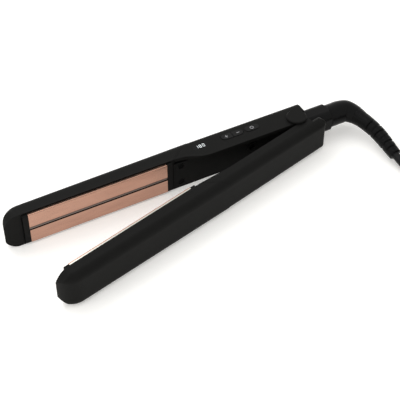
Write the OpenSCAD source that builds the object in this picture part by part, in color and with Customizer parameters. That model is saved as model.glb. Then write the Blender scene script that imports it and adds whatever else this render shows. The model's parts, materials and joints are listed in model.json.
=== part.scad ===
// Hinged hair iron with floating heated plates, lying on its side with its arms open.
// The origin is on the hinge axis, at the surface that the iron lies on. X runs along the
// control arm to its nose, Y runs from the control arm to the plain arm, Z is up.
// Both arms are drawn in a depth frame: X along the arm, Y the depth behind the closing plane.

/* [Arms] */
// Width of an arm, from one side face to the other
arm_w = 30; // [26:0.5:38]
// Depth from the closing plane to the back of an arm
arm_back = 17.4; // [16.5:0.1:21]
// Rounding of the long back edges
edge_r = 6; // [4:0.5:7]
// Wall of the arm shells
wall = 1.8; // [1.4:0.1:2.4]
// Lean of the front shells towards the closing plane
lean = 0.9; // [0:0.1:1.4]
// Angle between the two arms at rest
open_angle = 14.3; // [8:0.1:18]
// Distance from the hinge axis to the square tail of the control arm
tail_a = 10.2; // [9.6:0.1:12]
// Distance from the hinge axis to the centre of the round tail of the plain arm
tail_b = 13; // [12:0.1:14]
// Rounding of the plain arm's tail towards the side faces
tail_round = 9; // [6:0.5:12]
// Distance from the hinge axis to the joint between handle and front shell
seam_x = 106; // [90:0.5:130]
// How far the joint line runs back for each unit of depth
seam_slope = 1.29; // [0:0.01:1.5]
// Depth of the control arm's inner edge
edge_a = 2.2; // [1.6:0.1:3]
// Depth of the plain arm's inner edge beside the plate
edge_b = 3.6; // [2.6:0.1:4]
// Reach of the control arm's top lip past the closing plane
lip_reach = 5.2; // [4:0.1:6]
// Thickness of the lips
lip_t = 3; // [2:0.1:4]
// Depth of the plain arm's inner edge at the handle
handle_edge_b = 5.6; // [5.5:0.1:7]
// Gap between the joined shells
seam_gap = 0.3; // [0.2:0.05:0.5]

/* [Plates] */
// Distance from the hinge axis to the start of the plates
plate_x = 112; // [96:0.5:140]
// Length of the heated plates
plate_l = 110; // [85:1:132]
// Width of the heated plates
plate_w = 27; // [22:0.5:27]
// Thickness of the coated plates
plate_t = 2; // [1.5:0.1:2.4]
// Gap between the two plate faces when the arms are closed
plate_gap = 0.3; // [0.2:0.05:0.6]
// Travel of a plate into its arm
float_travel = 1.2; // [0.6:0.1:1.4]
// Width of the groove along the middle of a plate
groove_w = 3; // [2:0.1:4]
// Depth of the groove
groove_d = 1.1; // [0.6:0.1:1.3]
// How much longer the control arm's nose is than the plain arm's
nose_extra = 3; // [0:0.5:5]
// Rounding of the noses towards the side faces
nose_round = 14; // [10:0.5:14.5]
// Length of the insulating blocks at the plate ends
end_block_l = 4; // [3:0.1:6]
// Thickness of the aluminium base behind a plate
base_t = 2; // [1.6:0.1:2.4]

/* [Controls] */
// Distance from the hinge axis to the middle of the power button
power_x = 36.2; // [30:0.1:38]
// Length of the power button
power_l = 12; // [8:0.1:13]
// Distance from the hinge axis to the gap between the plus and minus buttons
pair_x = 53.4; // [52:0.1:60]
// Length of the plus and minus buttons
pair_l = 9; // [7:0.1:9.5]
// Width of all the buttons
button_w = 5.6; // [4:0.1:7]
// Travel of a button
button_travel = 0.6; // [0.4:0.1:0.8]
// How far a button stands above the side face
button_rise = 0.35; // [0.2:0.05:0.5]
// Distance from the hinge axis to the middle of the display
display_x = 81; // [74:0.1:84]
// Length of the display window
display_l = 11.5; // [8:0.1:13]
// Depth of the row of controls behind the closing plane
control_d = 6.4; // [6:0.1:8]

/* [Hinge] */
// Diameter of the hinge pin
pin_d = 4; // [3:0.1:5]
// Running clearance of the hinge pin in the plain arm's lugs, on the radius
pin_clear = 0.05; // [0.03:0.01:0.1]
// Height of each of the control arm's knuckles
knuckle_h = 5.7; // [4.5:0.1:6.5]
// Diameter of the cap over the hinge
cap_d = 15.8; // [14:0.1:17]
// Thickness of the cap
cap_t = 1.8; // [1.4:0.1:2.4]

/* [Cord] */
// Diameter of the cord
cord_d = 6.4; // [5:0.1:7]
// Half width of the tail housing
tail_r = 9.3; // [8.6:0.1:9.8]
// Rear end of the tail housing behind the hinge axis
tail_end = 31.4; // [28:0.1:31.5]
// Depth of the swivel axis behind the closing plane
swivel_d = 5; // [4.6:0.1:6]
// Diameter of the plug's pins
plug_pin_d = 4; // [4:0.1:4.8]
// Length of the plug's pins
plug_pin_l = 19; // [18:0.5:20]

/* [Hidden] */

$fn = 64;
mid_z = arm_w / 2;
far = 60;
eps = 0.01;
blend_step = 0.02;

// Plates and what holds them
face_d = plate_gap / 2;
plate_back = face_d + plate_t;
base_step = 0.45;
base_back = plate_back + base_step + base_t;
heater_t = 2;
heater_w = 15;
heater_l = 64;
stack_back = base_back + heater_t;
float_room = 0.3;
carrier_d = stack_back + float_travel + float_room;
carrier_t = 1.8;
end_gap = 0.2;
pocket_gap = 0.35;
pocket_x0 = plate_x - end_block_l - end_gap - pocket_gap;
pocket_x1 = plate_x + plate_l + end_block_l + end_gap + pocket_gap;
nose_x = plate_x + plate_l + 0.5;
spring_r = 2.1;
spring_inset = 13;
guide_r = 1.5;
guide_clear = 0.08;
guide_inset = 6;
screw_r = 2.4;
button_low = arm_w - wall - 2.6;

// Hinge
knuckle_r = lip_reach;
lug_gap = 0.3;
lug_z = knuckle_h + lug_gap;
lug_t = 4.6;
foot_t = 1.5;
foot_r = 3.4;
cap_lift = 0.4;
spring_wire = 1.3;
spring_turns = 5;

// Tail housing and swivel, and the split between the housing's halves
split_z = mid_z + 3;
housing_edge = 6;
housing_x0 = -tail_end;
housing_x1 = -tail_a + wall;
chamber_r = 6.9;
end_wall = 3;
neck_r = 5;
neck_clear = 0.06;
flange_t = 2.5;

// Route of the boot and the cord, chosen by hand: out of the tail, round to the plain arm's
// side, down to the surface and into the coil
boot_route = [
    [-31.8, -5, 15], [-38, -5, 15], [-44, -5, 15], [-49.5, -3.4, 15], [-53.6, 2.6, 14.5],
    [-56.2, 10, 13.5], [-58.4, 19, 12.3], [-59.6, 27, 11.1], [-59.8, 35, 10],
    [-59.8, 43, 8.6], [-59.8, 51, 7.2]];
boot_radii = [9.2, 9.2, 9.2, 8.8, 7.6, 6.5, 6.2, 6, 5.8, 5.4, 5];
cord_route = [
    [-59.8, 51, 7.2], [-60, 58, 6], [-60.4, 65, 4.9], [-60.9, 72, 4.2], [-61.2, 79, 3.9]];
plug_route = [
    [-74.4, 115.6, 11.3], [-83.6, 122.8, 12.6], [-94.4, 127.2, 14.1], [-106, 128.8, 15.7],
    [-116, 126.8, 17], [-124.4, 121.1, 18.2], [-130, 112.7, 19.2], [-132, 102.8, 20],
    [-132, 97, 20.2]];
boot_sides = 20;
cord_sides = 10;

// Coil of the length that is put away, in two layers of up to four turns
coil_at = [-106, 84];
tie_t = 0.6;
turn_pitch = 6.5;
coil_mean_r = 35;
coil_in = coil_mean_r - 2 * turn_pitch;
coil_out = coil_mean_r + 2 * turn_pitch;
coil_h = 2 * turn_pitch;
tie_w = 8;
tie_angle = 22;

// Plug, lying flat on the coil at the end of the plug route
plug_at = plug_route[8];
relief_l = 24;
plug_l = 34;
plug_w = 35;
plug_h = 13;
plug_spacing = 18.6;

// ---- Frames and helpers -------------------------------------------------------------------

// The control arm lies on the far side of the closing plane
module on_arm_a() mirror([0, 1, 0]) children();

// The plain arm is turned open about the hinge axis
module on_arm_b() rotate([0, 0, open_angle]) children();

// A 2D outline in depth and height, drawn out along X from x0 to x1
module along_x(x0, x1) translate([x0, 0, 0]) rotate([90, 0, 90]) linear_extrude(x1 - x0) children();

// A 2D outline in plan, drawn up from z0 to z1
module up(z0, z1) translate([0, 0, z0]) linear_extrude(z1 - z0) children();

// A block between two corners
module block(lo, hi) translate(lo) cube(hi - lo);

// A round bar along X, Y or Z
module bar_x(x0, x1, d, z, r) translate([x0, d, z]) rotate([0, 90, 0]) cylinder(h = x1 - x0, r = r);
module bar_y(x, d0, d1, z, r) translate([x, d0, z]) rotate([-90, 0, 0]) cylinder(h = d1 - d0, r = r);
module bar_z(x, d, z0, z1, r) translate([x, d, z0]) cylinder(h = z1 - z0, r = r);

// A rectangle with round corners, centred
module round_rect(w, h, r) {
    square([w - 2 * r, h], center = true);
    square([w, h - 2 * r], center = true);
    for (sx = [-1, 1], sy = [-1, 1])
        translate([sx * (w / 2 - r), sy * (h / 2 - r)]) circle(r);
}

// Plan outline of what lies behind an edge that runs from depth d0 to d1 in a smooth S
module s_edge(x0, x1, xs, xe, d0, d1, back) {
    rise = d1 - d0;
    run = xe - xs;
    r = (run * run + rise * rise) / (4 * rise);
    xm = (xs + xe) / 2;
    translate([x0, d0]) square([xs - x0, back - d0]);
    intersection() {
        translate([xs, d0 + r]) circle(r, $fn = 180);
        translate([xs, d0]) square([xm - xs, back - d0]);
    }
    difference() {
        translate([xm, d0]) square([xe - xm, back - d0]);
        translate([xe, d1 - r]) circle(r, $fn = 180);
    }
    translate([xe, d1]) square([x1 - xe, back - d1]);
}

// The same with a straight slope between the two depths
module sloped_edge(x0, d0, d1, back) {
    polygon([[x0, d0], [seam_x - 30, d0], [seam_x - 1, d1], [seam_x + 20, d1],
             [seam_x + 20, back], [x0, back]]);
}

// ---- Arm shells ---------------------------------------------------------------------------

// Section of an arm between depth d0 and its round-edged back, shrunk by an inset
module arm_section(d0, inset) {
    back = arm_back - inset;
    r = edge_r - inset;
    translate([d0, inset]) square([back - r - d0, arm_w - 2 * inset]);
    translate([back - r - eps, edge_r]) square([r + eps, arm_w - 2 * edge_r]);
    for (z = [edge_r, arm_w - edge_r]) translate([back - r, z]) circle(r);
}

// Section of the nose, from its centre outwards. It is drawn in by a hair's breadth, so that
// the turned surfaces stay clear of the straight ones that they run into.
module nose_section(nose_r) {
    r = edge_r - blend_step;
    translate([0, blend_step]) square([nose_r - edge_r, arm_w - 2 * blend_step]);
    translate([0, edge_r]) square([nose_r - blend_step, arm_w - 2 * edge_r]);
    for (z = [edge_r, arm_w - edge_r]) translate([nose_r - edge_r, z]) circle(r);
}

// The front shells lean towards the closing plane about the back of the joint
module leaning() translate([seam_x, arm_back, 0]) rotate([0, 0, -lean])
    translate([-seam_x, -arm_back, 0]) children();

// Front half of an arm: the section drawn out, then turned a quarter round the nose
module barrel_form(edge, extra) leaning() {
    along_x(60, nose_x + extra) arm_section(edge - 3, 0);
    translate([nose_x + extra, edge, 0]) rotate([0, 0, -20])
        rotate_extrude(angle = 120) nose_section(arm_back - edge);
}

// Side view of the nose, round towards both side faces. Its flat parts stand clear of the arm.
module nose_trim(edge, extra) leaning() end_trim(nose_x + extra + arm_back - edge, nose_round);

// A block along X up to x_end, with its end round in side view
module end_trim(x_end, r) translate([0, far, 0]) rotate([90, 0, 0]) linear_extrude(2 * far) {
    x = x_end + 1 - r;
    z = r - 0.5;
    translate([-far, -0.5]) square([far + x, arm_w + 1]);
    translate([0, z]) square([x + r, arm_w - 2 * z]);
    for (h = [z, arm_w - z]) translate([x, h]) circle(r);
}

// Everything in front of the slanting joint between handle and front shell
module ahead_of_seam(shift) {
    up(-1, arm_w + 1) polygon([
        [seam_x + shift + seam_slope * (edge_a + far), -far],
        [nose_x + far, -far], [nose_x + far, far],
        [seam_x + shift - seam_slope * (far - edge_a), far]]);
}

// The pocket that the plate and its end blocks float in
module plate_pocket(edge) {
    block([pocket_x0, edge - 5, mid_z - plate_w / 2 - pocket_gap],
          [pocket_x1, base_back + float_travel + float_room, mid_z + plate_w / 2 + pocket_gap]);
}

module barrel_shell(edge, extra) {
    difference() {
        intersection() {
            barrel_form(edge, extra);
            nose_trim(edge, extra);
            block([0, edge, -1], [nose_x + far, far, arm_w + 1]);
            ahead_of_seam(seam_gap / 2);
        }
        intersection() {
            leaning() along_x(50, nose_x) arm_section(edge - 3, wall);
            block([0, base_back, -1], [nose_x + far, far, arm_w + 1]);
        }
        plate_pocket(edge);
    }
}

module barrel_shell_a() color([0.1, 0.1, 0.1]) on_arm_a() barrel_shell(edge_a, nose_extra);

module barrel_shell_b() color([0.1, 0.1, 0.1]) on_arm_b() barrel_shell(edge_b, 0);

// Plan of the control arm's top wall, with the lip and the knuckle over the hinge
module top_plan_a() {
    s_edge(0, seam_x + 20, seam_x - 30, seam_x - 1, -lip_reach, edge_a, arm_back - edge_r);
    circle(knuckle_r);
    translate([-knuckle_r, 0]) square([knuckle_r, edge_r]);
    translate([-tail_a, edge_r - 1]) square([tail_a, arm_back - 2 * edge_r + 1]);
}

// A stadium opening or button outline about the middle of the controls
module stadium(l, w) {
    square([l - w, w], center = true);
    for (s = [-1, 1]) translate([s * (l - w) / 2, 0]) circle(w / 2);
}

button_gap = 0.25;
module control_openings() {
    top = [arm_w - wall - 1, arm_w + 1];
    translate([power_x, control_d]) up(top[0], top[1])
        stadium(power_l + 2 * button_gap, button_w + 2 * button_gap);
    translate([pair_x, control_d]) up(top[0], top[1])
        stadium(2 * pair_l + 1 + 2 * button_gap, button_w + 2 * button_gap);
    translate([display_x, control_d]) up(top[0], top[1]) stadium(display_l, button_w);
}

module handle_shell_a() color([0.1, 0.1, 0.1]) on_arm_a() difference() {
    union() {
        intersection() {
            along_x(-tail_a, seam_x + 20) arm_section(edge_a, 0);
            up(-1, arm_w + 1) {
                translate([-tail_a, edge_r - 1]) square([seam_x + 60, far]);
                translate([knuckle_r, 0]) square([seam_x + 60, far]);
            }
        }
        up(arm_w - lip_t, arm_w) top_plan_a();
        for (z = [0, arm_w - knuckle_h]) up(z, z + knuckle_h) {
            circle(knuckle_r);
            translate([-knuckle_r, 0]) square([2 * knuckle_r, edge_r + 2]);
        }
    }
    // inside of the handle, open to the closing plane for the cover
    difference() {
        along_x(-tail_a + wall, seam_x + 30) arm_section(edge_a - 3, wall);
        block([-knuckle_r, -far, arm_w - knuckle_h], [knuckle_r, edge_r + 2, arm_w]);
        block([-knuckle_r, -far, 0], [knuckle_r, edge_r + 2, knuckle_h]);
        block([-far, -far, arm_w - lip_t], [far * 3, edge_a, arm_w]);
    }
    ahead_of_seam(-seam_gap / 2);
    control_openings();
    tail_housing_form(0);
    bar_z(0, 0, foot_t, arm_w - cap_lift, pin_d / 2);
    bar_z(0, 0, -1, foot_t, foot_r);
    bar_z(0, 0, arm_w - 1.2, arm_w + 1, cap_stem_r);
}

// Tail of the plain arm: a fully rounded section, turned half round at its end. It is as thick
// as the tail housing leaves room for when the arms are open.
housing_front = tail_r - swivel_d;
tail_b_r = (arm_back * cos(open_angle) - tail_b * sin(open_angle) - housing_front - lug_gap)
    / (1 + cos(open_angle));
square_end_b = (tail_a - wall - 2 * lug_gap - handle_edge_b * sin(open_angle)) / cos(open_angle);
module tail_form_b(inset) {
    r = tail_b_r - inset;
    d = arm_back - tail_b_r;
    along_x(-tail_b, eps - square_end_b) translate([d, 0]) {
        translate([-r, tail_b_r]) square([2 * r, arm_w - 2 * tail_b_r]);
        for (z = [tail_b_r, arm_w - tail_b_r]) translate([0, z]) circle(r);
    }
    translate([-tail_b, d, 0]) rotate([0, 0, 80]) rotate_extrude(angle = 200)
        intersection() {
            square([far, arm_w]);
            union() {
                translate([0, tail_b_r]) square([r - blend_step, arm_w - 2 * tail_b_r]);
                for (z = [tail_b_r, arm_w - tail_b_r]) translate([0, z]) circle(r - blend_step);
            }
        }
}

// Inner edge of the plain arm's handle, in plan; it falls back beside the hinge
module handle_plan_b() {
    sloped_edge(-square_end_b, handle_edge_b, edge_b, far);
}

module handle_shell_b() color([0.1, 0.1, 0.1]) on_arm_b() difference() {
    union() {
        intersection() {
            along_x(-square_end_b, seam_x + 20) arm_section(0, 0);
            up(-1, arm_w + 1) handle_plan_b();
        }
        up(0, lip_t) sloped_edge(2 * knuckle_r + 2, lip_gap_b - edge_a, edge_b, arm_back - edge_r);
        intersection() {
            tail_form_b(0);
            along_x(-far, far) arm_section(0, blend_step);
            mirror([1, 0, 0]) end_trim(tail_b + tail_b_r, tail_round);
        }
    }
    // inside of the handle, open to the closing plane for the cover
    difference() {
        union() {
            along_x(-square_end_b, seam_x + 30) arm_section(0, wall);
            tail_form_b(wall);
        }
        block([0, -far, 0], [far * 3, handle_edge_b, lip_t]);
    }
    ahead_of_seam(-seam_gap / 2);
    knuckle_room();
}

lip_gap_b = 0.4;

// Room round the control arm's knuckles and under its cap
module knuckle_room() bar_z(0, 0, -1, arm_w + 1, knuckle_r + lug_gap);

// ---- Covers, screws and carriers ----------------------------------------------------------

cover_t = 2;
cover_x0 = 8;
cover_clear = 0.1;
cover_gap = 0.4;
boss_x = 38;
screw_recess = 1.2;
screw_edge = 3.6;

// End of a cover at a depth, short of the slanting joint, and the screws inside its edges
function cover_end(d) = seam_x - seam_slope * (d - edge_a) - cover_gap;
function screw_places(d, z0, z1) = [
    [cover_end(d + cover_t) - screw_edge, z1 - screw_edge],
    [cover_end(d + cover_t) - screw_edge, z0 + screw_edge], [boss_x, mid_z]];

// A cover inside a handle, with its screw recesses
module cover_form(d, z0, z1) {
    difference() {
        up(z0, z1) polygon([[cover_x0, d], [cover_end(d), d],
                            [cover_end(d + cover_t), d + cover_t], [cover_x0, d + cover_t]]);
        for (p = screw_places(d, z0, z1)) {
            bar_y(p[0], d - 1, d + screw_recess, p[1], screw_r + 0.3);
            bar_y(p[0], d - 1, d + cover_t + 1, p[1], screw_r / 2 + 0.1);
        }
    }
}

module screws(d, z0, z1) {
    for (p = screw_places(d, z0, z1)) difference() {
        union() {
            bar_y(p[0], d + 0.5, d + screw_recess, p[1], screw_r);
            bar_y(p[0], d + screw_recess - eps, d + cover_t + 5, p[1], screw_r / 2);
        }
        for (a = [45, 135]) translate([p[0], d + 0.5, p[1]]) rotate([0, a, 0])
            cube([screw_r * 1.3, 0.7, 0.5], center = true);
    }
}

// Heights that the covers run between. The control arm's stays clear of the pressed buttons.
cover_low_a = wall + cover_clear;
cover_high_a = min(arm_w - lip_t, button_low - button_travel) - lug_gap;
cover_low_b = lip_t + cover_clear;
cover_high_b = arm_w - wall - cover_clear;

module inner_cover_a() color([0.08, 0.08, 0.08]) on_arm_a() {
    cover_form(edge_a, cover_low_a, cover_high_a);
    difference() {
        bar_y(boss_x, edge_a - 0.6, edge_a, mid_z, screw_r + 1.8);
        bar_y(boss_x, edge_a - 1, edge_a + 1, mid_z, screw_r + 0.3);
    }
}

module cover_screws_a() color([0.55, 0.55, 0.55]) on_arm_a()
    screws(edge_a, cover_low_a, cover_high_a);

cover_b_d = handle_edge_b + 0.4;
module inner_cover_b() color([0.08, 0.08, 0.08]) on_arm_b()
    cover_form(cover_b_d, cover_low_b, cover_high_b);

module cover_screws_b() color([0.55, 0.55, 0.55]) on_arm_b()
    screws(cover_b_d, cover_low_b, cover_high_b);

// Seats of the float springs and of the guide pins, along X and across Z
spring_places = [for (x = [plate_x + spring_inset, plate_x + plate_l - spring_inset])
    for (s = [-1, 1]) [x, mid_z + s * (heater_w / 2 + spring_r + 0.4)]];
guide_places = [for (x = [plate_x + guide_inset, plate_x + plate_l - guide_inset]) [x, mid_z]];

module spring_carrier() {
    difference() {
        block([plate_x + 1, carrier_d, wall + 1], [plate_x + plate_l - 4, carrier_d + carrier_t,
              arm_w - wall - 1]);
        for (p = guide_places) bar_y(p[0], carrier_d - 1, carrier_d + 3, p[1], guide_r + guide_clear);
        block([plate_x + plate_l / 2 - heater_l / 2 - 12, carrier_d - 1, mid_z - 3],
              [plate_x + plate_l / 2 - heater_l / 2 - 4, carrier_d + 3, mid_z + 3]);
    }
    for (x = [plate_x + 6, plate_x + plate_l - 16])
        for (z = [wall + 1.6, arm_w - wall - 4.6])
            block([x, carrier_d + carrier_t, z], [x + 3, arm_back - wall - 4, z + 3]);
}

module spring_carrier_a() color([0.85, 0.83, 0.78]) on_arm_a() spring_carrier();

module spring_carrier_b() color([0.85, 0.83, 0.78]) on_arm_b() spring_carrier();

// Float springs, drawn at the length that they have with the plate pushed in
spring_l = carrier_d - base_back - float_travel - 0.1;
module float_springs() {
    wire = 0.35;
    turns = 4;
    for (p = spring_places, i = [0 : turns - 1])
        translate([p[0], carrier_d - wire - i * (spring_l - 2 * wire) / (turns - 1), p[1]])
            rotate([90, 0, 0]) rotate_extrude() translate([spring_r - wire, 0]) circle(wire, $fn = 16);
}

module float_springs_a() color([0.6, 0.6, 0.62]) on_arm_a() float_springs();

module float_springs_b() color([0.6, 0.6, 0.62]) on_arm_b() float_springs();

// ---- Heated plates ------------------------------------------------------------------------

plate_edge_r = 0.6;
module coated_plate() difference() {
    along_x(plate_x, plate_x + plate_l) {
        translate([face_d + plate_edge_r, mid_z - plate_w / 2])
            square([plate_t - plate_edge_r, plate_w]);
        translate([face_d, mid_z - plate_w / 2 + plate_edge_r])
            square([plate_t, plate_w - 2 * plate_edge_r]);
        for (s = [-1, 1]) translate([face_d + plate_edge_r, mid_z + s * (plate_w / 2 - plate_edge_r)])
            circle(plate_edge_r);
    }
    block([plate_x - 1, face_d - 1, mid_z - groove_w / 2],
          [plate_x + plate_l + 1, face_d + groove_d, mid_z + groove_w / 2]);
}

module plate_insert() {
    strip_w = groove_w * 0.36;
    block([plate_x, face_d + 0.35, mid_z - strip_w / 2],
          [plate_x + plate_l, face_d + groove_d, mid_z + strip_w / 2]);
}

module plate_base() {
    block([plate_x, plate_back + base_step, mid_z - plate_w / 2 + 0.3],
          [plate_x + plate_l, base_back, mid_z + plate_w / 2 - 0.3]);
    block([plate_x + 1, plate_back, mid_z - plate_w / 2 + 2],
          [plate_x + plate_l - 1, plate_back + base_step, mid_z + plate_w / 2 - 2]);
    for (p = guide_places) bar_y(p[0], base_back - eps, carrier_d + carrier_t - 0.1, p[1], guide_r);
}

module heater() block([plate_x + plate_l / 2 - heater_l / 2, base_back, mid_z - heater_w / 2],
                      [plate_x + plate_l / 2 + heater_l / 2, stack_back, mid_z + heater_w / 2]);

module end_blocks() {
    for (x = [plate_x - end_gap - end_block_l, plate_x + plate_l + end_gap])
        along_x(x, x + end_block_l)
            translate([(face_d + 0.15 + base_back) / 2, mid_z])
                round_rect(base_back - face_d - 0.15, plate_w - 0.2, 0.9);
}

fuse_x = plate_x + 22;
fuse_r = heater_t / 2;
module thermal_fuse() bar_x(fuse_x - 9, fuse_x, base_back + fuse_r, mid_z - 6, fuse_r);

copper = [0.8, 0.6, 0.5];
module plate_a() color(copper) on_arm_a() coated_plate();

module plate_b() color(copper) on_arm_b() coated_plate();

module plate_insert_a() color([0.25, 0.22, 0.2]) on_arm_a() plate_insert();

module plate_insert_b() color([0.25, 0.22, 0.2]) on_arm_b() plate_insert();

module plate_base_a() color([0.8, 0.8, 0.78]) on_arm_a() plate_base();

module plate_base_b() color([0.8, 0.8, 0.78]) on_arm_b() plate_base();

module heater_a() color([0.93, 0.92, 0.88]) on_arm_a() heater();

module heater_b() color([0.93, 0.92, 0.88]) on_arm_b() heater();

module end_blocks_a() color([0.12, 0.12, 0.12]) on_arm_a() end_blocks();

module end_blocks_b() color([0.12, 0.12, 0.12]) on_arm_b() end_blocks();

module thermal_fuse_a() color([0.75, 0.7, 0.5]) on_arm_a() thermal_fuse();

module thermal_fuse_b() color([0.75, 0.7, 0.5]) on_arm_b() thermal_fuse();

// ---- Circuit board and controls -----------------------------------------------------------

flange_h = 1.8;
switch_top = button_low - button_travel - 0.05;
board_t = 1.6;
switch_h = 2.6;
board_z = switch_top - switch_h - board_t;
board_x0 = 24;
board_x1 = seam_x - 15;

module circuit_board() color([0.1, 0.35, 0.2]) on_arm_a() {
    block([board_x0, edge_a + cover_t + lug_gap, board_z], [board_x1, control_d + 6, board_z + board_t]);
    for (x = [board_x0 + 8, board_x0 + 32, board_x0 + 44])
        block([x, control_d - 1, board_z - 2], [x + 6, control_d + 4, board_z]);
}

module key_switches() color([0.3, 0.3, 0.32]) on_arm_a()
    for (x = [power_x, pair_x + pair_l / 2 + 0.2, pair_x - pair_l / 2 - 0.2]) {
        block([x - 1.9, control_d - 1.9, board_z + board_t],
              [x + 1.9, control_d + 1.9, switch_top - 0.6]);
        bar_z(x, control_d, switch_top - 0.6, switch_top, 1);
    }

module display_module() color([0.2, 0.22, 0.25]) on_arm_a()
    block([display_x - display_l / 2 - 1, edge_a + cover_t + lug_gap, board_z + board_t],
          [display_x + display_l / 2 + 1, control_d + button_w / 2 + 0.6, arm_w - wall - 0.6]);

module display_window() color([0.9, 0.92, 0.95]) on_arm_a() translate([display_x, control_d]) {
    up(arm_w - wall - 0.5, arm_w - wall) square([display_l + 1, button_w + 1], center = true);
    up(arm_w - wall, arm_w - 0.05) stadium(display_l - 0.1, button_w - 0.1);
}

// A button cap with the flange that keeps it in its opening
module button_cap() {
    difference() {
        union() {
            up(button_low, arm_w + button_rise) children(0);
            up(button_low, button_low + flange_h) children(1);
        }
        up(button_low - 1, button_low + 0.8) children(0);
    }
    up(button_low, button_low + 1) intersection() {
        children(0);
        circle(1.2);
    }
}

module power_button() color([0.1, 0.1, 0.1]) on_arm_a() translate([power_x, control_d]) button_cap() {
    stadium(power_l, button_w);
    stadium(power_l + 1, button_w + 1);
}

// Outline of one half of the plus and minus pair, with its outer end round
module half_button(grow) {
    w = button_w + 2 * grow;
    translate([-pair_l / 2, -w / 2]) square([pair_l - button_w / 2, w]);
    translate([pair_l / 2 - button_w / 2, 0]) circle(w / 2);
}

pair_mid = pair_l / 2 + 0.25;
module plus_button() color([0.1, 0.1, 0.1]) on_arm_a()
    translate([pair_x + pair_mid, control_d]) button_cap() {
        half_button(0);
        half_button(0.5);
    }

module minus_button() color([0.1, 0.1, 0.1]) on_arm_a()
    translate([pair_x - pair_mid, control_d]) mirror([1, 0, 0]) button_cap() {
        half_button(0);
        half_button(0.5);
    }

// ---- Hinge --------------------------------------------------------------------------------

cap_stem_r = 3.5;
module hinge_pin() color([0.7, 0.7, 0.72]) bar_z(0, 0, foot_t, arm_w - 1.2, pin_d / 2);

module hinge_foot() color([0.1, 0.1, 0.1]) bar_z(0, 0, 0, foot_t, foot_r);

module hinge_cap() color([0.12, 0.12, 0.12]) translate([0, 0, arm_w - 1.2]) {
    cylinder(h = 1.2 + cap_lift, r = cap_stem_r);
    translate([0, 0, 1.2 + cap_lift]) {
        cylinder(h = cap_t - 0.6, r = cap_d / 2);
        translate([0, 0, cap_t - 0.6]) cylinder(h = 0.6, r1 = cap_d / 2, r2 = cap_d / 2 - 0.6);
    }
}

// Two lugs on the pin and the block that carries them in the plain arm
lug_back = arm_back - wall;
lug_half = 4.4;
module hinge_knuckle_b() color([0.1, 0.1, 0.1]) on_arm_b() difference() {
    union() {
        for (z = [lug_z, arm_w - lug_z - lug_t]) up(z, z + lug_t) {
            circle(knuckle_r - 0.3);
            translate([-lug_half, 0]) square([2 * lug_half, lug_back]);
        }
        block([-lug_half, handle_edge_b + 1, lug_z], [lug_half, lug_back, arm_w - lug_z]);
    }
    bar_z(0, 0, -1, arm_w + 1, pin_d / 2 + pin_clear);
}

// Spring that opens the arms, between the two lugs
module torsion_spring() color([0.5, 0.5, 0.52]) {
    low = lug_z + lug_t + 0.3;
    high = arm_w - low;
    pitch = (high - low - spring_wire) / (spring_turns - 1);
    turn_r = (pin_d + 1 + spring_wire) / 2;
    for (i = [0 : spring_turns - 1])
        translate([0, 0, low + spring_wire / 2 + i * pitch]) rotate_extrude($fn = 40)
            translate([turn_r, 0]) circle(spring_wire / 2, $fn = 16);
    bar_y(-turn_r, -9, -0.5, low + spring_wire / 2, spring_wire / 2 - 0.15);
}

// ---- Tail housing and swivel --------------------------------------------------------------

module tail_housing_form(grow) {
    along_x(housing_x0, housing_x1) translate([swivel_d, mid_z])
        round_rect(2 * (tail_r + grow), 2 * (tail_r + grow), housing_edge);
}

module tail_housing() difference() {
    tail_housing_form(0);
    bar_x(housing_x0 + end_wall, 0, swivel_d, mid_z, chamber_r);
    bar_x(housing_x0 - 1, 0, swivel_d, mid_z, neck_r + neck_clear);
}

module tail_housing_upper() color([0.08, 0.08, 0.08]) on_arm_a() intersection() {
    tail_housing();
    block([-far, -far, split_z], [0, far, arm_w]);
}

module tail_housing_lower() color([0.08, 0.08, 0.08]) on_arm_a() intersection() {
    tail_housing();
    block([-far, -far, 0], [0, far, split_z]);
}

core_x0 = housing_x0 - 0.4;
flange_x = housing_x0 + end_wall + 0.2;
ring_r = 4;
module swivel_core() color([0.15, 0.15, 0.15]) on_arm_a() {
    bar_x(core_x0, flange_x, swivel_d, mid_z, neck_r);
    bar_x(flange_x, flange_x + flange_t, swivel_d, mid_z, chamber_r - 0.3);
    bar_x(flange_x + flange_t, -tail_a - 2.5, swivel_d, mid_z, ring_r - 0.6);
}

ring_places = [flange_x + flange_t + 2, flange_x + flange_t + 6.5];
module slip_rings() color([0.8, 0.65, 0.3]) on_arm_a() for (x = ring_places) difference() {
    bar_x(x, x + 2.5, swivel_d, mid_z, ring_r);
    bar_x(x - 1, x + 4, swivel_d, mid_z, ring_r - 0.6);
}

module contact_brushes() color([0.75, 0.6, 0.3]) on_arm_a() for (x = ring_places)
    block([x + 0.5, swivel_d - 1.2, mid_z - chamber_r + 1.2], [x + 2, swivel_d + 1.2,
          mid_z - ring_r - 0.3]);

// ---- Wiring -------------------------------------------------------------------------------

wire_r = 0.8;
wire_d = carrier_d + carrier_t + 1.6;
module wiring(x0) for (s = [-1, 1]) bar_x(x0, fuse_x + 24, wire_d, mid_z + s * 2.2, wire_r);

module arm_wiring_a() color([0.8, 0.2, 0.15]) on_arm_a() wiring(14);

module arm_wiring_b() color([0.8, 0.2, 0.15]) on_arm_b() wiring(lug_half + 4);

// ---- Cord, coil and plug ------------------------------------------------------------------

function unit(v) = v / norm(v);
function tangent(p, i) = unit(p[min(i + 1, len(p) - 1)] - p[max(i - 1, 0)]);
function ring_at(c, t, r, sides) =
    let (side = unit(cross(t, [0, 0, 1])), over = cross(side, t))
    [for (k = [0 : sides - 1]) c + r * (cos(360 * k / sides) * side + sin(360 * k / sides) * over)];

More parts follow.
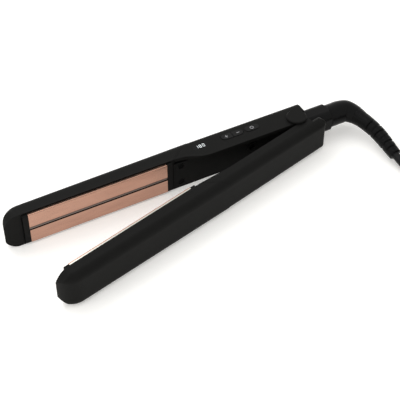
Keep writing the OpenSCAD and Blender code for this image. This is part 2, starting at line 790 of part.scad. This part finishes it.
// A tube swept along route points, with a radius at each point
module swept_tube(route, radii, sides) {
    n = len(route);
    rings = [for (i = [0 : n - 1]) each ring_at(route[i], tangent(route, i), radii[i], sides)];
    walls = [for (i = [0 : n - 2], k = [0 : sides - 1])
        [i * sides + k, i * sides + (k + 1) % sides,
         (i + 1) * sides + (k + 1) % sides, (i + 1) * sides + k]];
    first = [[for (k = [sides - 1 : -1 : 0]) k]];
    last = [[for (k = [0 : sides - 1]) (n - 1) * sides + k]];
    polyhedron(points = rings, faces = concat(walls, first, last), convexity = 6);
}

module cord_boot() color([0.12, 0.12, 0.12]) swept_tube(boot_route, boot_radii, boot_sides);

module power_cord() color([0.12, 0.12, 0.12]) {
    swept_tube(cord_route, [for (p = cord_route) cord_d / 2], cord_sides);
    swept_tube(plug_route, [for (p = plug_route) cord_d / 2], cord_sides);
}

module cord_coil() color([0.12, 0.12, 0.12]) translate([coil_at[0], coil_at[1], tie_t])
    rotate_extrude($fn = 96) translate([coil_mean_r, coil_h / 2])
        round_rect(coil_out - coil_in, coil_h, cord_d / 2);

// A strap round the turns of the coil at one place
module coil_tie() color([0.2, 0.2, 0.2])
    translate([coil_at[0], coil_at[1], 0]) rotate([0, 0, tie_angle]) difference() {
        block([coil_in - 1.6, -tie_w / 2, 0], [coil_out + 1, tie_w / 2, coil_h + 2 * tie_t + 0.1]);
        block([coil_in - 0.8, -tie_w, tie_t], [coil_out + 0.3, tie_w, coil_h + tie_t + 0.1]);
    }

relief_y0 = plug_at[1];
body_y0 = relief_y0 - relief_l;
body_y1 = body_y0 - plug_l;
module plug_relief() color([0.12, 0.12, 0.12])
    translate([plug_at[0], relief_y0, plug_at[2]]) rotate([90, 0, 0])
        cylinder(h = relief_l, r1 = cord_d / 2 + 0.6, r2 = 5.4, $fn = 48);

// Flat plug body: a broad front that tapers in steps of its outline towards the relief
module plug_body() color([0.12, 0.12, 0.12])
    translate([plug_at[0], 0, plug_at[2]]) intersection() {
        translate([0, body_y0, 0]) rotate([90, 0, 0]) linear_extrude(plug_l)
            round_rect(plug_w, plug_h, 5);
        translate([0, 0, -plug_h]) linear_extrude(2 * plug_h) polygon([
            [-plug_w / 2, body_y1], [plug_w / 2, body_y1], [plug_w / 2, body_y1 + 12],
            [plug_w / 2 - 4, body_y1 + 21], [7, body_y0], [-7, body_y0],
            [-plug_w / 2 + 4, body_y1 + 21], [-plug_w / 2, body_y1 + 12]]);
    }

module plug_pins() color([0.8, 0.8, 0.82]) for (s = [-1, 1])
    translate([plug_at[0] + s * plug_spacing / 2, body_y1, plug_at[2]]) rotate([90, 0, 0])
        cylinder(h = plug_pin_l, r = plug_pin_d / 2, $fn = 48);

handle_shell_a();
barrel_shell_a();
inner_cover_a();
cover_screws_a();
spring_carrier_a();
float_springs_a();
plate_a();
plate_insert_a();
plate_base_a();
heater_a();
end_blocks_a();
thermal_fuse_a();
arm_wiring_a();
circuit_board();
key_switches();
display_module();
display_window();
power_button();
plus_button();
minus_button();
hinge_pin();
hinge_cap();
hinge_foot();
torsion_spring();
tail_housing_upper();
tail_housing_lower();
contact_brushes();
handle_shell_b();
barrel_shell_b();
inner_cover_b();
cover_screws_b();
hinge_knuckle_b();
spring_carrier_b();
float_springs_b();
plate_b();
plate_insert_b();
plate_base_b();
heater_b();
end_blocks_b();
thermal_fuse_b();
arm_wiring_b();
swivel_core();
slip_rings();
cord_boot();
power_cord();
cord_coil();
coil_tie();
plug_relief();
plug_body();
plug_pins();
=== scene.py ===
"""Hair iron lying on its side with its arms open, on a plain pale surface.

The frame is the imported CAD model: X runs along the control arm, Y from it to the plain arm,
Z up. Sizes are in metres.
"""
import json
from math import ceil, cos, pi, radians, sin

import bpy
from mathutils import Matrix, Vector


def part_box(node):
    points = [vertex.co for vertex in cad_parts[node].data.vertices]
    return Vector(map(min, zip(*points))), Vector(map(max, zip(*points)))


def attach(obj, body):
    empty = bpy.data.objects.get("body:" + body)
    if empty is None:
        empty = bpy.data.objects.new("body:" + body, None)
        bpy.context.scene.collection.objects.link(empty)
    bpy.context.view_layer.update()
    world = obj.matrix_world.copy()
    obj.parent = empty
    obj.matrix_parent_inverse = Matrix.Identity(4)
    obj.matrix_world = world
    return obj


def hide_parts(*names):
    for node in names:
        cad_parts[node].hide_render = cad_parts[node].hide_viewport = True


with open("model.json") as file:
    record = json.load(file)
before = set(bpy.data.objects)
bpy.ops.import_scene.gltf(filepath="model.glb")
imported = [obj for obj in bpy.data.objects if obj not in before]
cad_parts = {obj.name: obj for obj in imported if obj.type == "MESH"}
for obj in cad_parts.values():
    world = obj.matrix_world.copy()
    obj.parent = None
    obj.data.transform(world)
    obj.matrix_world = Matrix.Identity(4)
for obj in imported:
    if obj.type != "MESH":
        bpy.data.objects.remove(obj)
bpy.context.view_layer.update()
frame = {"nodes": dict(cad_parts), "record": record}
MM = 0.001

# ---- Sizes shared with the CAD source ------------------------------------------------------
OPEN_ANGLE = radians(14.3)
ARM_W = 30 * MM
CORD_R = 3.2 * MM
COIL_CENTRE = Vector((-106 * MM, 84 * MM, 0))
COIL_MEAN_R = 35 * MM
TURN_PITCH = 6.5 * MM
COIL_LOW = 3.85 * MM

# Middle lines in mm, in the frame's axes, and the boot's radius at each of its points
BOOT_ROUTE = [
    (-31.8, -5, 15), (-38, -5, 15), (-44, -5, 15), (-49.5, -3.4, 15), (-53.6, 2.6, 14.5),
    (-56.2, 10, 13.5), (-58.4, 19, 12.3), (-59.6, 27, 11.1), (-59.8, 35, 10),
    (-59.8, 43, 8.6), (-59.8, 51, 7.2)]
BOOT_RADII = [9.2, 9.2, 9.2, 8.8, 7.6, 6.5, 6.2, 6, 5.8, 5.4, 5]
CORD_ROUTE = [
    (-59.8, 51, 7.2), (-60, 58, 6), (-60.4, 65, 4.9), (-60.9, 72, 4.2), (-61.2, 79, 3.9)]
PLUG_ROUTE = [
    (-74.4, 115.6, 11.3), (-83.6, 122.8, 12.6), (-94.4, 127.2, 14.1), (-106, 128.8, 15.7),
    (-116, 126.8, 17), (-124.4, 121.1, 18.2), (-130, 112.7, 19.2), (-132, 102.8, 20),
    (-132, 97, 20.2)]


# ---- Camera and lights ---------------------------------------------------------------------
def linked(name, data):
    """A new object in the scene that shows data."""
    obj = bpy.data.objects.new(name, data)
    bpy.context.scene.collection.objects.link(obj)
    return obj


def look(obj, at, towards):
    """Puts obj at a point, with its -Z axis towards another."""
    obj.location = at
    obj.rotation_euler = (Vector(towards) - Vector(at)).to_track_quat("-Z", "Y").to_euler()


def make_camera():
    azimuth, elevation, distance = radians(151.7), radians(44.2), 0.812
    aim = Vector((0.094, 0.0175, 0))
    away = Vector((sin(azimuth) * cos(elevation), -cos(azimuth) * cos(elevation), sin(elevation)))
    data = bpy.data.cameras.new("camera")
    data.lens, data.sensor_width = 97.2, 36
    camera = linked("camera", data)
    look(camera, aim + distance * away, aim)
    bpy.context.scene.camera = camera


def make_area_light(name, at, towards, size, watts):
    data = bpy.data.lights.new(name, "AREA")
    data.size, data.energy = size, watts
    look(linked(name, data), at, towards)


def make_studio():
    scene = bpy.context.scene
    scene.view_settings.view_transform = "Standard"
    world = bpy.data.worlds.new("studio")
    scene.world = world
    world.use_nodes = True
    background = world.node_tree.nodes["Background"]
    background.inputs["Color"].default_value = (1, 0.995, 0.985, 1)
    background.inputs["Strength"].default_value = 1.0
    make_area_light("overhead", (0.3, -0.75, 1.1), (0.1, 0, 0), 0.9, 5)
    make_area_light("nose_side", (1.3, 0.2, 0.6), (0.15, 0.02, 0), 0.7, 3.5)
    make_floor()


def make_floor():
    """Pale floor just under the part. Its faint glow keeps the shadows light."""
    side, low = 3.0, -0.0002
    corners = [(-side, -side, low), (side, -side, low), (side, side, low), (-side, side, low)]
    mesh = bpy.data.meshes.new("floor")
    mesh.from_pydata(corners, [], [(0, 1, 2, 3)])
    white = plain_material("floor_white", (0.9, 0.895, 0.88), 0.7)
    glow(white, (1, 0.985, 0.95), 0.24)
    mesh.materials.append(white)
    linked("floor", mesh)


# ---- Materials -----------------------------------------------------------------------------
def plain_material(name, colour, roughness, metallic=0.0, specular=0.5):
    material = bpy.data.materials.new(name)
    material.use_nodes = True
    shader = material.node_tree.nodes["Principled BSDF"]
    shader.inputs["Base Color"].default_value = (*colour, 1)
    shader.inputs["Roughness"].default_value = roughness
    shader.inputs["Metallic"].default_value = metallic
    shader.inputs["Specular IOR Level"].default_value = specular
    return material


def glow(material, colour, strength):
    shader = material.node_tree.nodes["Principled BSDF"]
    shader.inputs["Emission Color"].default_value = (*colour, 1)
    shader.inputs["Emission Strength"].default_value = strength


def grained(name, colour, roughness, grain_mm, height_mm, metallic=0.0, specular=0.5,
            spread=0.12, stretch=(1, 1, 1)):
    """A material with fine grain in its relief, its roughness and, slightly, its colour."""
    material = plain_material(name, colour, roughness, metallic, specular)
    nodes, links = material.node_tree.nodes, material.node_tree.links
    shader = nodes["Principled BSDF"]
    place = nodes.new("ShaderNodeTexCoord")
    scale = nodes.new("ShaderNodeMapping")
    scale.inputs["Scale"].default_value = stretch
    links.new(place.outputs["Object"], scale.inputs["Vector"])
    noise = nodes.new("ShaderNodeTexNoise")
    noise.inputs["Scale"].default_value = 1 / (grain_mm * MM)
    noise.inputs["Detail"].default_value = 3
    links.new(scale.outputs["Vector"], noise.inputs["Vector"])
    broad = nodes.new("ShaderNodeTexNoise")
    broad.inputs["Scale"].default_value = 1 / (grain_mm * 30 * MM)
    links.new(scale.outputs["Vector"], broad.inputs["Vector"])
    bump = nodes.new("ShaderNodeBump")
    bump.inputs["Distance"].default_value = height_mm * MM
    bump.inputs["Strength"].default_value = 0.6
    links.new(noise.outputs["Fac"], bump.inputs["Height"])
    links.new(bump.outputs["Normal"], shader.inputs["Normal"])
    rough = nodes.new("ShaderNodeMapRange")
    rough.inputs["To Min"].default_value = roughness * (1 - spread)
    rough.inputs["To Max"].default_value = roughness * (1 + spread)
    links.new(noise.outputs["Fac"], rough.inputs["Value"])
    links.new(rough.outputs["Result"], shader.inputs["Roughness"])
    tint = nodes.new("ShaderNodeValToRGB")
    darker, lighter = tint.color_ramp.elements
    darker.position, lighter.position = 0.3, 0.7
    darker.color = (*[c * (1 - spread / 2) for c in colour], 1)
    lighter.color = (*[min(c * (1 + spread / 2), 1) for c in colour], 1)
    links.new(broad.outputs["Fac"], tint.inputs["Fac"])
    links.new(tint.outputs["Color"], shader.inputs["Base Color"])
    return material


def lit_material(name, colour, strength):
    material = plain_material(name, colour, 0.4)
    glow(material, colour, strength)
    return material


def plate_material():
    """Copper-coloured coating, with a bare edge on the plain arm's plate and a dark groove of
    painted shade.

    Both are colour only. The bare edge is found by depth across the plain arm, the painted groove
    shade by height."""
    bare_from, painted_shade_half = 1.25 * MM, 1.52 * MM
    material = grained("copper_plate", (0.47, 0.272, 0.2), 0.2, 0.12, 0.003, metallic=0.85,
                       stretch=(0.15, 1, 1))
    nodes, links = material.node_tree.nodes, material.node_tree.links
    shader = nodes["Principled BSDF"]
    coated = shader.inputs["Base Color"].links[0].from_socket
    place = nodes.new("ShaderNodeTexCoord")
    depth = nodes.new("ShaderNodeVectorMath")
    depth.operation = "DOT_PRODUCT"
    depth.inputs[1].default_value = (-sin(OPEN_ANGLE), cos(OPEN_ANGLE), 0)
    links.new(place.outputs["Object"], depth.inputs[0])
    bare = nodes.new("ShaderNodeMath")
    bare.operation = "GREATER_THAN"
    bare.inputs[1].default_value = bare_from
    links.new(depth.outputs["Value"], bare.inputs[0])
    mix = nodes.new("ShaderNodeMix")
    mix.data_type = "RGBA"
    mix.inputs["B"].default_value = (0.6, 0.59, 0.54, 1)
    links.new(bare.outputs["Value"], mix.inputs["Factor"])
    links.new(coated, mix.inputs["A"])
    height = nodes.new("ShaderNodeSeparateXYZ")
    links.new(place.outputs["Object"], height.inputs["Vector"])
    # Painted shade: a near-black band along the plate's mid-height stands in for the shade inside
    # a groove that has no geometry.
    painted_groove_shade = nodes.new("ShaderNodeMath")
    painted_groove_shade.operation = "COMPARE"
    painted_groove_shade.inputs[1].default_value, painted_groove_shade.inputs[2].default_value = ARM_W / 2, painted_shade_half
    links.new(height.outputs["Z"], painted_groove_shade.inputs[0])
    painted_shade_mix = nodes.new("ShaderNodeMix")
    painted_shade_mix.data_type = "RGBA"
    painted_shade_mix.inputs["B"].default_value = (0.03, 0.022, 0.018, 1)
    links.new(painted_groove_shade.outputs["Value"], painted_shade_mix.inputs["Factor"])
    links.new(mix.outputs["Result"], painted_shade_mix.inputs["A"])
    links.new(painted_shade_mix.outputs["Result"], shader.inputs["Base Color"])
    return material


def make_materials():
    return {
        "black_shell": grained("black_shell", (0.0066, 0.0066, 0.0062), 0.5, 0.25, 0.012,
                               specular=0.06),
        "black_tail": grained("black_tail", (0.0045, 0.0045, 0.0045), 0.24, 0.5, 0.003,
                              specular=0.08),
        "black_trim": grained("black_trim", (0.003, 0.003, 0.003), 0.4, 0.5, 0.004,
                              specular=0.05),
        "copper_plate": plate_material(),
        "plate_insert": grained("plate_insert", (0.16, 0.12, 0.1), 0.4, 0.3, 0.005),
        "bare_aluminium": grained("bare_aluminium", (0.72, 0.71, 0.67), 0.28, 0.15, 0.006,
                                  metallic=1.0, stretch=(0.08, 1, 1)),
        "ceramic": grained("ceramic", (0.8, 0.79, 0.75), 0.3, 0.4, 0.004),
        "steel": grained("steel", (0.5, 0.5, 0.51), 0.3, 0.2, 0.004, metallic=1.0),
        "pins": grained("pins", (0.68, 0.67, 0.64), 0.18, 0.3, 0.002, metallic=1.0),
        "brass": grained("brass", (0.62, 0.42, 0.16), 0.3, 0.2, 0.004, metallic=1.0),
        "board": grained("board", (0.03, 0.15, 0.06), 0.4, 0.6, 0.01),
        "carrier": grained("carrier", (0.55, 0.52, 0.45), 0.5, 0.4, 0.01),
        "button": grained("button", (0.006, 0.006, 0.006), 0.4, 0.25, 0.008, specular=0.12),
        "window": grained("window", (0.002, 0.002, 0.0025), 0.1, 0.6, 0.001, specular=0.15),
        "wire": grained("wire", (0.02, 0.018, 0.016), 0.5, 0.4, 0.008, specular=0.2),
        "cord": grained("cord", (0.006, 0.006, 0.006), 0.35, 0.3, 0.012, specular=0.15),
    }


def finish_cad_nodes(materials):
    """Gives every CAD node its material, and the moulded pieces their small edge rounding."""
    slots = {s["node"]: s["material_slot"] for s in frame["record"]["subparts"]}
    soft_edges = {
        "handle_shell_a": 0.7, "barrel_shell_a": 0.7, "handle_shell_b": 0.7, "barrel_shell_b": 0.7,
        "inner_cover_a": 0.3, "inner_cover_b": 0.3, "hinge_cap": 0.4, "tail_housing_upper": 0.3,
        "tail_housing_lower": 0.3, "end_blocks_a": 0.3, "end_blocks_b": 0.3, "plug_body": 1.2,
        "power_button": 0.15, "plus_button": 0.15, "minus_button": 0.15}
    for name, node in frame["nodes"].items():
        node.data.materials.clear()
        node.data.materials.append(materials[slots[name]])
        if name in soft_edges:
            bevel = node.modifiers.new("edges", "BEVEL")
            bevel.width, bevel.segments = soft_edges[name] * MM, 3
            bevel.limit_method, bevel.angle_limit = "ANGLE", radians(40)
            bevel.harden_normals = False


# ---- Mesh helpers --------------------------------------------------------------------------
def new_piece(name, points, faces, material, body, smooth=True):
    mesh = bpy.data.meshes.new(name)
    mesh.from_pydata([tuple(p) for p in points], [], faces)
    mesh.update()
    for polygon in mesh.polygons:
        polygon.use_smooth = smooth
    piece = linked(name, mesh)
    mesh.materials.append(material)
    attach(piece, body)
    return piece


def smooth_line(points, step):
    """Points about a step apart on a smooth curve through the given ones."""
    points = [Vector(p) * MM for p in points]
    line = []
    for i in range(len(points) - 1):
        before, start = points[max(i - 1, 0)], points[i]
        end, after = points[i + 1], points[min(i + 2, len(points) - 1)]
        count = max(1, ceil((end - start).length / step))
        for k in range(count):
            t = k / count
            line.append(0.5 * (2 * start + (end - before) * t
                               + (2 * before - 5 * start + 4 * end - after) * t ** 2
                               + (3 * start - before - 3 * end + after) * t ** 3))
    return line + [points[-1]]


def lengths_along(line):
    along = [0.0]
    for a, b in zip(line, line[1:]):
        along.append(along[-1] + (b - a).length)
    return along


def swept(name, line, radius_at, sides, material, body):
    """A closed tube along a line, with a radius that depends on the length along it."""
    along = lengths_along(line)
    points, faces = [], []
    for i, centre in enumerate(line):
        ahead = (line[min(i + 1, len(line) - 1)] - line[max(i - 1, 0)]).normalized()
        side = ahead.cross(Vector((0, 0, 1))).normalized()
        over = side.cross(ahead)
        r = radius_at(along[i])
        points += [centre + r * (cos(2 * pi * k / sides) * side + sin(2 * pi * k / sides) * over)
                   for k in range(sides)]
    for i in range(len(line) - 1):
        for k in range(sides):
            a, b = i * sides + k, i * sides + (k + 1) % sides
            faces.append((a, a + sides, b + sides, b))
    faces.append(tuple(range(sides)))
    faces.append(tuple(reversed(range(len(points) - sides, len(points)))))
    return new_piece(name, points, faces, material, body)


# ---- Cord ----------------------------------------------------------------------------------
def ramp(angle, start, span):
    """0 before start, 1 after start + span, and an even slope with soft ends between."""
    t, soft = (angle - start) / span, 0.2
    if t <= 0:
        return 0.0
    if t >= 1:
        return 1.0
    slope = 1 / (1 - soft)
    if t < soft:
        return slope * t * t / (2 * soft)
    if t > 1 - soft:
        return 1 - slope * (1 - t) ** 2 / (2 * soft)
    return slope * (t - soft / 2)


def coil_points():
    """The turns: four inwards on the lower layer, a climb, and outwards again on the upper one.

    Each turn steps across by one pitch in the same part of the circle as its neighbours. Angles
    are in degrees from where the coil starts to where the plug's lead leaves it."""
    first, last, step = 5, 2550, 9
    shift, outer = 100, COIL_MEAN_R + 1.5 * TURN_PITCH
    inward = [260, 620, 980]
    climb = 1240
    outward = [1500, 1860, 2220]
    points = []
    for angle in range(first, last + 1, step):
        r = outer - TURN_PITCH * sum(ramp(angle, a, shift) for a in inward)
        r += TURN_PITCH * sum(ramp(angle, a, shift) for a in outward)
        z = COIL_LOW + TURN_PITCH * ramp(angle, climb, shift)
        turn = radians(angle)
        points.append(COIL_CENTRE + Vector((r * cos(turn), r * sin(turn), z)))
    return points


def make_cord(materials):
    route = [Vector(p) * MM for p in CORD_ROUTE] + coil_points()
    route += [Vector(p) * MM for p in PLUG_ROUTE]
    line = smooth_line([p / MM for p in route], 4.5 * MM)
    data = bpy.data.curves.new("mains_cord", "CURVE")
    data.dimensions = "3D"
    data.bevel_depth, data.bevel_resolution = CORD_R, 5
    data.use_fill_caps = True
    spline = data.splines.new("POLY")
    spline.points.add(len(line) - 1)
    for point, place in zip(spline.points, line):
        point.co = (*place, 1)
    cord = linked("mains_cord", data)
    data.materials.append(materials["cord"])
    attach(cord, "cord_swivel")
    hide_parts("power_cord", "cord_coil")


def make_boot(materials):
    """Bent boot: smooth round the bend, then fine ribs, then broad ribs between grooves."""
    line = smooth_line(BOOT_ROUTE, 0.25 * MM)
    marks = lengths_along([Vector(p) * MM for p in BOOT_ROUTE])
    fine_from, fine_step, fine_depth = 27 * MM, 1.5 * MM, 0.42 * MM
    broad_from, broad_step = 42 * MM, 5.4 * MM
    groove_w, groove_depth, plain_end = 1.3 * MM, 1.5 * MM, 1.5 * MM
    chamfer, chamfer_slope = 0.8 * MM, 0.5

    def radius_at(s):
        i = max(k for k, m in enumerate(marks) if m <= s + 1e-9 or k == 0)
        i = min(i, len(marks) - 2)
        t = min((s - marks[i]) / (marks[i + 1] - marks[i]), 1)
        r = (BOOT_RADII[i] * (1 - t) + BOOT_RADII[i + 1] * t) * MM
        if s > fine_from:
            r -= fine_depth * (1 - cos(2 * pi * s / fine_step)) / 2
        if broad_from < s < marks[-1] - plain_end and (s - broad_from) % broad_step < groove_w:
            r -= groove_depth
        if s < chamfer:
            r -= chamfer_slope * (chamfer - s)
        return r

    sides = 48
    boot = swept("ribbed_boot", line, radius_at, sides, materials["black_tail"], "cord_swivel")
    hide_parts("cord_boot")


# ---- Marks on the controls -----------------------------------------------------------------
def plate_shape(name, outlines, z, thick, material, body):
    """Flat shapes in plan, with a thickness, on a side face."""
    points, faces = [], []
    for outline in outlines:
        n, first = len(outline), len(points)
        points += [(x, y, z + thick) for x, y in outline] + [(x, y, z) for x, y in outline]
        faces.append(tuple(range(first, first + n)))
        faces += [(first + k, first + n + k, first + n + (k + 1) % n, first + (k + 1) % n)
                  for k in range(n)]
    return new_piece(name, points, faces, material, body, smooth=False)


def bar(cx, cy, lx, ly):
    """Corners of a bar about a point."""
    return [(cx - lx / 2, cy - ly / 2), (cx + lx / 2, cy - ly / 2),
            (cx + lx / 2, cy + ly / 2), (cx - lx / 2, cy + ly / 2)]


def arc_band(cx, cy, r, width, start, end, count=28):
    """Outline of a band along an arc, from start to end in degrees."""
    turn = [radians(start + (end - start) * k / count) for k in range(count + 1)]
    outer = [(cx + (r + width / 2) * cos(a), cy + (r + width / 2) * sin(a)) for a in turn]
    inner = [(cx + (r - width / 2) * cos(a), cy + (r - width / 2) * sin(a)) for a in turn]
    return outer + inner[::-1]


def centre_of(node):
    """The middle of a CAD node's box, and the height of its top."""
    low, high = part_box(node)
    return [(a + b) / 2 for a, b in zip(low, high)], high[2]


MARK_T = 0.03 * MM


def make_marks(materials):
    """A plus, a minus and a generic power sign, on the three buttons."""
    mark = materials["mark"]
    line, long, arm, arm_at = 0.45 * MM, 2.6 * MM, 1.1 * MM, 0.8 * MM
    (x, y, _), top = centre_of("plus_button")
    plus = [bar(x, y, long, line), bar(x, y + arm_at, line, arm), bar(x, y - arm_at, line, arm)]
    plate_shape("plus_mark", plus, top, MARK_T, mark, "plus_key")
    (x, y, _), top = centre_of("minus_button")
    plate_shape("minus_mark", [bar(x, y, long, line)], top, MARK_T, mark, "minus_key")
    (x, y, _), top = centre_of("power_button")
    ring_r, stem, stem_at = 1.3 * MM, 1.5 * MM, 1.2 * MM
    power = [arc_band(x, y, ring_r, line, 120, 420), bar(x, y + stem_at, line, stem)]
    plate_shape("power_mark", power, top, MARK_T, mark, "power_key")


# The lit bars of each figure, by the usual letters of a seven-bar display
SEGMENTS = {"1": "bc", "8": "abcdefg", "0": "abcdef"}


def digit(cx, cy, w, h, lit):
    """Outlines of the lit bars of a seven-bar figure. It reads from the plain arm's side."""
    t, shorten = 0.14 * h, 0.86
    places = {"a": (0, h / 2, w, t), "g": (0, 0, w, t), "d": (0, -h / 2, w, t),
              "f": (-w / 2, h / 4, t, h / 2), "b": (w / 2, h / 4, t, h / 2),
              "e": (-w / 2, -h / 4, t, h / 2), "c": (w / 2, -h / 4, t, h / 2)}
    bars = []
    for s in lit:
        dx, dy, lx, ly = places[s]
        bars.append(bar(cx - dx, cy - dy, lx * shorten, ly * shorten))
    return bars


def make_display(materials):
    (x, y, _), top = centre_of("display_window")
    pitch, wide, high = 2.8 * MM, 1.4 * MM, 2.9 * MM
    bars = []
    for k, figure in enumerate("180"):
        bars += digit(x + (1 - k) * pitch, y, wide, high, SEGMENTS[figure])
    plate_shape("display_figures", bars, top, MARK_T, materials["lit_figure"], "control_arm")


# ---- The scene -----------------------------------------------------------------------------
make_camera()
materials = make_materials()
materials["mark"] = plain_material("mark", (0.3, 0.3, 0.31), 0.5)
materials["lit_figure"] = lit_material("lit_figure", (0.8, 0.85, 0.86), 0.35)
make_cord(materials)
make_studio()
finish_cad_nodes(materials)
make_boot(materials)
make_marks(materials)
make_display(materials)
